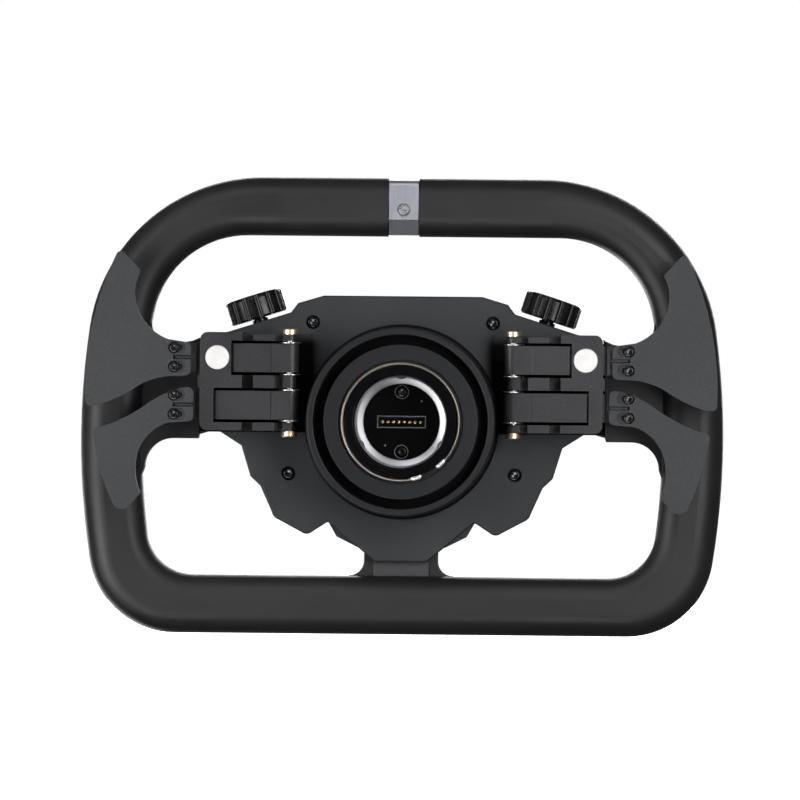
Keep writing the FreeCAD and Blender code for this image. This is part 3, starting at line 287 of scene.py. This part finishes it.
def brushed(name, base, roughness, stretch):
    """Brushed metal, with its lines along the axis that stretch makes small."""
    g = Graph(name, base, roughness, 1.0)
    lines = g.noise(2600, 3, 0.7, g.stretched(stretch))
    cloud = g.noise(60, 3)
    tone = g.mix(g.spread(lines, 0.25, 0.75), scaled(base, 0.86), scaled(base, 1.06))
    g.set_color(g.mix(g.math("MULTIPLY", g.spread(cloud, 0.4, 0.7), 0.3), tone, scaled(base, 0.8)))
    g.set_roughness(g.spread(lines, 0.3, 0.7, roughness - 0.06, roughness + 0.08))
    g.rounded(0.25 * MM)
    g.bump(lines, 0.012 * MM, 0.5)
    return g.done()


def turned_collar():
    """Black anodised collar with fine turning lines, its rounded edges lighter as a painted highlight and
    the groove between its two lands darkened as painted shade.
    """
    base = (0.0155, 0.016, 0.018)
    g = Graph("collar_alloy", base, 0.36, 0.3, Specular_IOR_Level=0.4)
    g.rounded(0.4 * MM)
    radius = g.from_axis()
    lines = g.noise(1.0, 3, 0.7, g.joined(g.math("MULTIPLY", radius, 5200.0)))
    tone = g.mix(g.spread(lines, 0.3, 0.7), scaled(base, 0.75), scaled(base, 1.3))
    # Painted highlight: the rounded edges are lighter.
    tone = g.mix(g.math("MULTIPLY", g.edges(), 0.4), tone, scaled(base, 5.0))
    # Painted shade: the groove between the lands is darkened and reflects less, where shade falls in it.
    groove = g.band(radius, 36.1 * MM, 40.7 * MM, 0.15 * MM)
    g.set_color(g.mix(groove, tone, scaled(base, 0.1)))
    g.link(g.spread(groove, 0.0, 1.0, 0.4, 0.08), g.shader.inputs["Specular IOR Level"])
    g.set_roughness(g.spread(lines, 0.3, 0.7, 0.3, 0.42))
    g.bump(lines, 0.012 * MM, 0.6)
    return g.done()


def ground_taper():
    """Ground steel cone, satin bright, with a few fine turned lines round its mouth."""
    base = (0.58, 0.58, 0.605)
    g = Graph("chromed_steel", base, 0.36, 0.97)
    radius = g.from_axis()
    fine = g.noise(1.0, 3, 0.7, g.joined(g.math("MULTIPLY", radius, 9000.0)))
    ridges = g.math("SINE", g.math("MULTIPLY", radius, 2 * math.pi / (0.62 * MM)))
    outer = g.spread(radius, 20.5 * MM, 20.8 * MM)
    inner = g.spread(radius, 18.6 * MM, 18.9 * MM, 0.6, 0.0)
    mouth = g.math("ADD", outer, inner)
    dark = g.math("MULTIPLY", mouth, g.spread(ridges, -0.2, 0.6))
    tone = g.mix(g.spread(fine, 0.3, 0.7), scaled(base, 0.85), base)
    g.set_color(g.mix(dark, tone, (0.05, 0.05, 0.055)))
    g.set_roughness(g.spread(fine, 0.3, 0.7, 0.36, 0.5))
    g.rounded(0.15 * MM)
    g.bump(fine, 0.01 * MM, 0.4)
    return g.done()


def woven():
    """Twill carbon weave under a clear coat."""
    base = (0.020, 0.021, 0.024)
    g = Graph("carbon_weave", base, 0.35, 0.2, Coat_Weight=1.0, Coat_Roughness=0.08)
    split = g.add("SeparateXYZ")
    g.feed(split, Vector=g.places)
    pitch = 2.4 * MM
    across = g.math("DIVIDE", split.outputs["X"], pitch)
    up = g.math("DIVIDE", split.outputs["Z"], pitch)
    column = g.math("FLOOR", across)
    row = g.math("FLOOR", up)
    step = g.math("FLOORED_MODULO", g.math("ADD", column, row), 4.0)
    warp = g.math("LESS_THAN", step, 1.5)
    inside_x = g.math("FRACT", across)
    inside_z = g.math("FRACT", up)
    crown_x = g.math("SINE", g.math("MULTIPLY", inside_x, math.pi))
    crown_z = g.math("SINE", g.math("MULTIPLY", inside_z, math.pi))
    chosen = g.add("Mix", data_type="FLOAT")
    g.feed(chosen, i0=warp, i2=crown_z, i3=crown_x)
    crown = chosen.outputs[0]
    tone = g.mix(warp, scaled(base, 0.75), scaled(base, 2.2))
    g.set_color(g.mix(g.math("MULTIPLY", crown, 0.6), scaled(base, 0.5), tone))
    g.set_roughness(g.spread(g.noise(1500, 2), 0.3, 0.7, 0.3, 0.45))
    g.rounded(0.3 * MM)
    g.bump(crown, 0.12 * MM, 0.6)
    return g.done()


def lens():
    """Smoked glossy plastic over the light bar."""
    base = (0.015, 0.015, 0.018)
    g = Graph("smoked_lens", base, 0.12, 0.0, Coat_Weight=0.6, Coat_Roughness=0.05)
    cloud = g.noise(120, 3)
    g.set_color(g.mix(g.spread(cloud, 0.35, 0.7), scaled(base, 0.7), scaled(base, 1.4)))
    g.set_roughness(g.spread(cloud, 0.3, 0.7, 0.08, 0.18))
    g.rounded(0.4 * MM)
    g.bump(g.noise(300, 2), 0.02 * MM, 0.3)
    return g.done()


FRAME_BLACK = (0.029, 0.0295, 0.0315)
M = {
    "grip_rubber": grip_rubber(),
    "core_alloy": blasted("core_alloy", (0.04, 0.04, 0.043), 0.5),
    "band_alloy": brushed("band_alloy", (0.41, 0.42, 0.465), 0.44, (1, 1, 0.03)),
    "bright_steel": polished("bright_steel", (0.62, 0.62, 0.64), 0.27),
    # Paler steel for the snap ring's ends, a painted highlight.
    "lug_painted_highlight": polished("lug_painted_highlight", (0.80, 0.80, 0.79), 0.36, 0.7),
    # The plate's material carries painted shade behind the paddle hinges.
    "anodised_plate": blasted("anodised_plate", (0.0215, 0.0228, 0.0265), 0.5, grain=3400, speck=0.25,
                              hinge_painted_shade=True),
    "case_plastic": moulded("case_plastic", (0.018, 0.018, 0.020), 0.5),
    "face_carbon": woven(),
    "lens": lens(),
    "black_screws": polished("black_screws", (0.006, 0.006, 0.0065), 0.2, 0.2, edge=0.1,
                             Specular_IOR_Level=0.45),
    "circuit_board": moulded("circuit_board", (0.01, 0.05, 0.03), 0.4),
    "black_steel": polished("black_steel", (0.003, 0.003, 0.0035), 0.2, 0.0, Specular_IOR_Level=0.08),
    "chromed_steel": ground_taper(),
    "copper_wire": polished("copper_wire", (0.21, 0.185, 0.165), 0.4),
    "connector_plastic": polished("connector_plastic", (0.002, 0.002, 0.0025), 0.14, 0.0,
                                  Specular_IOR_Level=0.2),
    "gold_contacts": polished("gold_contacts", (0.85, 0.58, 0.22), 0.25),
    "collar_alloy": turned_collar(),
    "spring_steel": polished("spring_steel", (0.4, 0.4, 0.42), 0.3),
    "frame_alloy": blasted("frame_alloy", FRAME_BLACK, 0.42, 0.4, grain=2800, speck=0.35, depth=0.03),
    "pin_brass": polished("pin_brass", (0.93, 0.69, 0.46), 0.34),
    "washer_steel": polished("washer_steel", (0.68, 0.68, 0.7), 0.25),
    "nickel": polished("nickel", (0.78, 0.765, 0.755), 0.42, 0.35),
    "encoder_metal": polished("encoder_metal", (0.012, 0.012, 0.013), 0.3, 0.4),
    "switch_plastic": moulded("switch_plastic", (0.04, 0.04, 0.042), 0.5),
    "lever_alloy": blasted("lever_alloy", FRAME_BLACK, 0.47, 0.4, grain=2800, speck=0.35, depth=0.03),
    # Blade edges lightened the most, partly as wear and partly as a painted highlight.
    "blade_alloy": blasted("blade_alloy", (0.032, 0.033, 0.036), 0.6, 0.1, grain=3600, speck=0.35,
                           depth=0.03, wear_and_sheen=0.7, Specular_IOR_Level=0.35),
    "knob_plastic": moulded("knob_plastic", (0.005, 0.005, 0.0055), 0.3, grain=1200, depth=0.002, edge=0,
                            Specular_IOR_Level=0.27),
    "button_plastic": moulded("button_plastic", (0.05, 0.05, 0.055), 0.42),
    "ball_steel": polished("ball_steel", (0.72, 0.72, 0.74), 0.35, 0.9),
    "black_rubber": moulded("black_rubber", (0.002, 0.002, 0.002), 0.6, Specular_IOR_Level=0.1),
    "grey_print": moulded("grey_print", (0.16, 0.165, 0.175), 0.5),
}

SLOT_OF = {row["node"]: row["material_slot"] for row in frame["record"]["subparts"]}


def dress(piece, material):
    """Gives a CAD node one material on all its slots."""
    if not piece.material_slots:
        piece.data.materials.append(material)
    for holder in piece.material_slots:
        holder.link = "OBJECT"
        holder.material = material


for name, piece in NODES.items():
    dress(piece, M[SLOT_OF[name]])


# New pieces -------------------------------------------------------------------------------------

def finished(name, shape, material, body, smooth_angle=40):
    """Turns a bmesh into a piece that rides on a body."""
    bmesh.ops.recalc_face_normals(shape, faces=shape.faces)
    mesh = bpy.data.meshes.new(name)
    shape.to_mesh(mesh)
    shape.free()
    for face in mesh.polygons:
        face.use_smooth = True
    mesh.set_sharp_from_angle(angle=math.radians(smooth_angle))
    mesh.materials.append(material)
    piece = bpy.data.objects.new(name, mesh)
    bpy.context.scene.collection.objects.link(piece)
    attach(piece, body)
    return piece


def wire(shape, centres, radii, sides=16):
    """A closed tube through the centres, with its own half width and half height at each."""
    rings = []
    for number, centre in enumerate(centres):
        before = centres[max(number - 1, 0)]
        after = centres[min(number + 1, len(centres) - 1)]
        ahead = (after - before).normalized()
        sideways = ahead.cross(Vector((0, 1, 0))).normalized()
        upwards = sideways.cross(ahead)
        wide, high = radii[number]
        ring = []
        for side in range(sides):
            angle = 2 * math.pi * side / sides
            spot = centre + sideways * wide * math.cos(angle) + upwards * high * math.sin(angle)
            ring.append(shape.verts.new(spot))
        rings.append(ring)
    close_rows(shape, rings, around=False)
    shape.faces.new(rings[0])
    shape.faces.new(rings[-1])


def snap_ring():
    """Open wire ring in the sleeve's groove, with flattened ends given a paler, brighter steel as a painted
    highlight.
    """
    radius, wire_r, middle = 27.15 * MM, 0.95 * MM, 2.45 * MM
    first, last, steps = -51.5, -67.8, 200  # degrees round the ring
    end_length, end_blend, end_round = 9.5, 2.5, 2.6  # degrees
    end_inset, end_sink, end_swell = 0.3 * MM, 0.45 * MM, 0.45
    thinnest_tip = 0.06
    sweep = 360 + last - first
    centres, radii = [], []
    for step in range(steps + 1):
        along = sweep * step / steps
        near = min(along, sweep - along)
        share = min(1.0, max(0.0, (end_length + end_blend - near) / end_blend))
        ease = share * share * (3 - 2 * share)
        angle = math.radians(first + along)
        reach = radius - end_inset * ease
        depth = middle - end_sink * ease
        centres.append(Vector((reach * math.cos(angle), depth, reach * math.sin(angle))))
        tip = math.sqrt(max(thinnest_tip, 1 - max(0.0, 1 - near / end_round) ** 2))
        radii.append((wire_r * (1 + end_swell * ease) * tip, wire_r * tip))
    shape = bmesh.new()
    wire(shape, centres, radii)
    # The flattened ends take the second, paler material: a painted highlight.
    for face in shape.faces:
        middle_point = face.calc_center_median()
        along = (math.degrees(math.atan2(middle_point.z, middle_point.x)) - first) % 360
        near = min(along, max(0.0, sweep - along))
        face.material_index = 1 if near < end_length + end_blend / 2 else 0
    piece = finished("snap_ring_wire", shape, M["copper_wire"], "wheel")
    piece.data.materials.append(M["lug_painted_highlight"])
    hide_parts("qr_snap_ring")


def islands(node):
    """The (lowest, highest) corners of each separate solid in a CAD node, sorted by place."""
    shape = bmesh.new()
    shape.from_mesh(NODES[node].data)
    bmesh.ops.remove_doubles(shape, verts=shape.verts, dist=SAME_POINT)
    waiting, boxes = set(shape.verts), []
    while waiting:
        edge = [waiting.pop()]
        found = []
        while edge:
            vertex = edge.pop()
            found.append(vertex.co.copy())
            for side in vertex.link_edges:
                other = side.other_vert(vertex)
                if other in waiting:
                    waiting.remove(other)
                    edge.append(other)
        low = Vector(min(point[axis] for point in found) for axis in range(3))
        high = Vector(max(point[axis] for point in found) for axis in range(3))
        boxes.append((low, high))
    shape.free()
    return sorted(boxes, key=lambda box: (round(box[0].x, 4), round(box[0].z, 4)))


def hexagon_reach(angle, corner):
    """Distance from the middle to the side of a hexagon with that corner radius."""
    turned = angle % (math.pi / 3) - math.pi / 6
    return corner * math.cos(math.pi / 6) / math.cos(turned)


def close_rows(shape, rows, around):
    """Joins closed rows of vertices into a band; with around, the last row joins the first."""
    pairs = list(zip(rows, rows[1:]))
    if around:
        pairs.append((rows[-1], rows[0]))
    for first, second in pairs:
        count = len(first)
        for step in range(count):
            after = (step + 1) % count
            shape.faces.new((first[step], first[after], second[after], second[step]))


def lathe(shape, centre, rings, facing=-1, segments=48):
    """Joins rings round Y into a closed form. Each ring is (radius or a function of the angle, height);
    heights run along the facing direction."""
    made = []
    for reach, height in rings:
        ring = []
        for step in range(segments):
            angle = 2 * math.pi * step / segments
            radius = reach(angle) if callable(reach) else reach
            ring.append(shape.verts.new(centre + Vector((radius * math.cos(angle), facing * height,
                                                         radius * math.sin(angle)))))
        made.append(ring)
    close_rows(shape, made, around=False)
    shape.faces.new(made[0])
    shape.faces.new(made[-1])


SHANK_SHARE = 0.48
RIM_SHARE = 0.28
CROWN_SHARE = 1.28
SOCKET_FLOOR_SHARE = 0.35
HEAD_BREAK = 0.12 * MM
DOME_STEPS = 7


def button_screws(name, node, body, head_height, socket, facing=-1):
    """Domed cap screws with a chamfered hexagon socket, where the CAD node's screws are. The head's
    dome runs from its rim in to its crown."""
    shape = bmesh.new()
    for low, high in islands(node):
        head_r = (high.x - low.x) / 2
        top = low.y if facing < 0 else high.y
        seat = top - facing * head_height
        centre = Vector(((low.x + high.x) / 2, seat, (low.z + high.z) / 2))
        depth = (high.y - low.y) - head_height
        shank = head_r * SHANK_SHARE
        rings = [(shank * 0.7, -depth), (shank, -depth + 0.4 * MM), (shank, 0), (head_r - HEAD_BREAK, 0),
                 (head_r, HEAD_BREAK)]
        rim = head_height * RIM_SHARE
        crown = socket * CROWN_SHARE
        for step in range(DOME_STEPS + 1):
            angle = math.pi / 2 * step / DOME_STEPS
            rings.append((crown + (head_r - crown) * math.cos(angle) ** 0.9,
                          rim + (head_height - rim) * math.sin(angle)))
        rings += [(lambda angle: hexagon_reach(angle, socket) + 0.10 * MM, head_height - 0.04 * MM),
                  (lambda angle: hexagon_reach(angle, socket), head_height - 0.16 * MM),
                  (lambda angle: hexagon_reach(angle, socket), head_height * SOCKET_FLOOR_SHARE),
                  (0.1 * MM, head_height * 0.2)]
        lathe(shape, centre, rings, facing)
    piece = finished(name, shape, M["black_screws"], body, 28)
    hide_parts(node)


def screws():
    """All the screws in view; the numbers are head heights and socket radii."""
    button_screws("back_plate_cap_screws", "back_plate_screws", "wheel", 2.6 * MM, 1.5 * MM)
    button_screws("connector_cap_screws", "connector_screws", "wheel", 1.5 * MM, 1.3 * MM)
    button_screws("face_plate_cap_screws", "face_plate_screws", "wheel", 1.5 * MM, 1.2 * MM, facing=1)
    for side in ("left", "right"):
        for paddle in ("shift", "clutch"):
            button_screws("%s_blade_cap_screws_%s" % (paddle, side), "%s_blade_screws_%s" % (paddle, side),
                          "%s_paddle_%s" % (paddle, side), 1.6 * MM, 1.25 * MM)


def ring_at(shape, centre, radius, thickness, height, segments=48):
    """A flat-topped ring with broken edges, standing rearwards on the centre's plane."""
    inner, outer = radius - thickness / 2, radius + thickness / 2
    break_edge = min(thickness, height) * 0.3
    profile = [(inner, 0), (outer, 0), (outer, height - break_edge), (outer - break_edge, height),
               (inner + break_edge, height), (inner, height - break_edge)]
    rows = []
    angles = [2 * math.pi * step / segments for step in range(segments)]
    for reach, level in profile:
        rows.append([shape.verts.new(centre + Vector((reach * math.cos(angle), -level,
                                                      reach * math.sin(angle)))) for angle in angles])
    close_rows(shape, rows, around=True)


def connector_trim():
    """Grey rim round the contact block, thin pale rims round its two screws as a painted highlight,
    and two small pips.
    """
    plate_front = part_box("connector_plate")[0].y
    low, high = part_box("contact_block")
    shape = bmesh.new()
    lip, tall, clearance = 0.5 * MM, 0.3 * MM, 0.05 * MM
    lip_top = low.y - tall + clearance
    loops = []
    for inset, level in ((0, plate_front), (0, lip_top), (lip, lip_top), (lip, plate_front)):
        left, right = low.x - clearance + inset, high.x + clearance - inset
        bottom, top = low.z - clearance + inset, high.z + clearance - inset
        corners = ((left, bottom), (right, bottom), (right, top), (left, top))
        loops.append([shape.verts.new((x, level, z)) for x, z in corners])
    close_rows(shape, loops, around=True)
    for screw_low, screw_high in islands("connector_screws"):
        middle = (screw_low + screw_high) / 2
        # Pale rims stand in for the light on the screws' chamfered edges: painted highlight.
        ring_at(shape, Vector((middle.x, plate_front, middle.z)), 3.1 * MM, 0.4 * MM, 0.18 * MM)
    pip = [(0.55 * MM, -0.1 * MM), (0.55 * MM, 0.12 * MM), (0.4 * MM, 0.3 * MM), (0.1 * MM, 0.36 * MM)]
    for x, z in ((9.4 * MM, 9.7 * MM), (-7.7 * MM, -11.1 * MM)):
        lathe(shape, Vector((x, plate_front, z)), pip, segments=20)
    finished("connector_rims", shape, M["grey_print"], "wheel")


def shadow_gap_ring():
    """Black rubber ring round the flange that the collar's outer edge nearly covers; it stands in for the
    shade in the gap between the collar and the plate, as painted shade.
    """
    plate_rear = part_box("back_plate")[0].y
    radius, thickness, height = 44.5 * MM, 2.2 * MM, 5.6 * MM
    shape = bmesh.new()
    ring_at(shape, Vector((0, plate_rear, 0)), radius, thickness, height, segments=128)
    finished("flange_shadow_gap_ring", shape, M["black_rubber"], "wheel")


def spoke_gaskets():
    """Thin rubber strips that close the joints between the hub and the padded spokes."""
    plate_low, plate_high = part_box("back_plate")
    rear, front = plate_low.y + 0.8 * MM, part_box("housing")[1].y - 1 * MM
    bottom, top = -6.4 * MM, 38.4 * MM
    width, proud, rounding = 0.6 * MM, 0.1 * MM, 0.15 * MM
    for side, sign in (("right", 1), ("left", -1)):
        shape = bmesh.new()
        bmesh.ops.create_cube(shape, size=1)
        size = Vector((width, front - rear, top - bottom))
        centre = Vector((sign * (plate_high.x + proud), (rear + front) / 2, (top + bottom) / 2))
        for vertex in shape.verts:
            vertex.co = Vector(part * length for part, length in zip(vertex.co, size)) + centre
        bmesh.ops.bevel(shape, geom=shape.edges, offset=rounding, segments=3, profile=0.5, affect="EDGES")
        finished("spoke_gasket_" + side, shape, M["black_rubber"], "wheel")


COLLAR_TRAVEL = 7 * MM
CLUTCH_SPRING_TRAVEL = 2.9 * MM


def springs():
    """Coil springs rebuilt from their CAD nodes as pieces on the wheel, each with a mesh of its own."""
    pushed = [("collar_springs", "collar_slide", COLLAR_TRAVEL)]
    for side in ("left", "right"):
        pushed.append(("clutch_spring_" + side, "clutch_pull_" + side, CLUTCH_SPRING_TRAVEL))
    for node, joint, travel in pushed:
        shape = bmesh.new()
        shape.from_mesh(NODES[node].data)
        bmesh.ops.remove_doubles(shape, verts=shape.verts, dist=SAME_POINT)
        piece = finished(node + "_coils", shape, M["spring_steel"], "wheel")
        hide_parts(node)
        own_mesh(piece)


snap_ring()
screws()
connector_trim()
shadow_gap_ring()
spoke_gaskets()
springs()


# Stage ------------------------------------------------------------------------------------------

def stage_surface():
    """Pale round floor, seen almost white."""
    shape = bmesh.new()
    bmesh.ops.create_circle(shape, cap_ends=True, segments=96, radius=14)
    mesh = bpy.data.meshes.new("studio_floor")
    shape.to_mesh(mesh)
    shape.free()
    floor = bpy.data.objects.new("studio_floor", mesh)
    floor.location.z = CAD_BOX[0].z - 1 * MM
    bpy.context.scene.collection.objects.link(floor)
    g = Graph("studio_white", (0.9, 0.9, 0.9), 0.8, Emission_Color=(1, 1, 1, 1), Emission_Strength=1.0)
    g.set_color(g.mix(g.noise(3), (0.86, 0.86, 0.86), (0.9, 0.9, 0.9)))
    mesh.materials.append(g.done())
    floor.visible_diffuse = False
    floor.visible_glossy = False


def soft_light(name, place, size, power):
    """An area light aimed at the middle of the wheel."""
    data = bpy.data.lights.new(name, "AREA")
    data.shape = "RECTANGLE"
    data.size, data.size_y = size
    data.energy = power
    light = bpy.data.objects.new(name, data)
    light.location = place
    aim = Vector((0, 0.02, 0)) - Vector(place)
    light.rotation_euler = aim.to_track_quat("-Z", "Y").to_euler()
    bpy.context.scene.collection.objects.link(light)


def world(strength):
    """White surroundings that light the wheel weakly."""
    surroundings = bpy.data.worlds.new("studio")
    surroundings.use_nodes = True
    tree = surroundings.node_tree
    sky = tree.nodes["Background"]
    sky.inputs["Color"].default_value = (1, 1, 1, 1)
    path = tree.nodes.new("ShaderNodeLightPath")
    level = tree.nodes.new("ShaderNodeMapRange")
    level.inputs["To Min"].default_value = strength
    level.inputs["To Max"].default_value = 1.0
    tree.links.new(path.outputs["Is Camera Ray"], level.inputs["Value"])
    tree.links.new(level.outputs[0], sky.inputs["Strength"])
    bpy.context.scene.world = surroundings


def photo_camera():
    """Long lens behind the wheel, a degree to its right, with the small roll of the real view."""
    distance, yaw, roll = 10.0, math.radians(1.2), math.radians(0.55)
    rim_depth = 40 * MM
    millimetre_px, frame_px = 2.137, 800
    data = bpy.data.cameras.new("camera")
    data.sensor_width = 36
    data.lens = millimetre_px * data.sensor_width / frame_px * (distance + rim_depth) / MM
    data.clip_end = 60
    camera = bpy.data.objects.new("camera", data)
    back = Vector((math.sin(yaw), -math.cos(yaw), 0))
    right = Vector((math.cos(yaw), math.sin(yaw), 0))
    up = Vector((0, 0, 1))
    right, up = (right * math.cos(roll) + up * math.sin(roll), up * math.cos(roll) - right * math.sin(roll))
    aim = right * (-0.15 * MM) + up * (10.25 * MM)
    turn = Matrix((right, up, back)).transposed()
    camera.matrix_world = Matrix.Translation(aim + back * distance) @ turn.to_4x4()
    bpy.context.scene.collection.objects.link(camera)
    bpy.context.scene.camera = camera


bpy.context.scene.view_settings.view_transform = "Standard"
stage_surface()
world(0.13)
LIGHTS = (  # name, place, size, power in watts
    ("key_top", (-0.5, -1.3, 1.5), (1.2, 0.8), 11),
    ("low_front", (-0.3, -1.55, -1.0), (1.2, 0.8), 50),
    ("side_left", (-0.55, -0.42, -0.08), (0.35, 0.6), 5.6),
    ("side_right", (0.38, -0.64, 0.1), (0.25, 0.5), 4.2),
    ("driver_side", (0.15, 1.6, 0.45), (1.4, 1.0), 36),
    ("driver_low", (-0.7, 1.1, -0.5), (0.8, 1.0), 15),
)
for light_row in LIGHTS:
    soft_light(*light_row)
photo_camera()
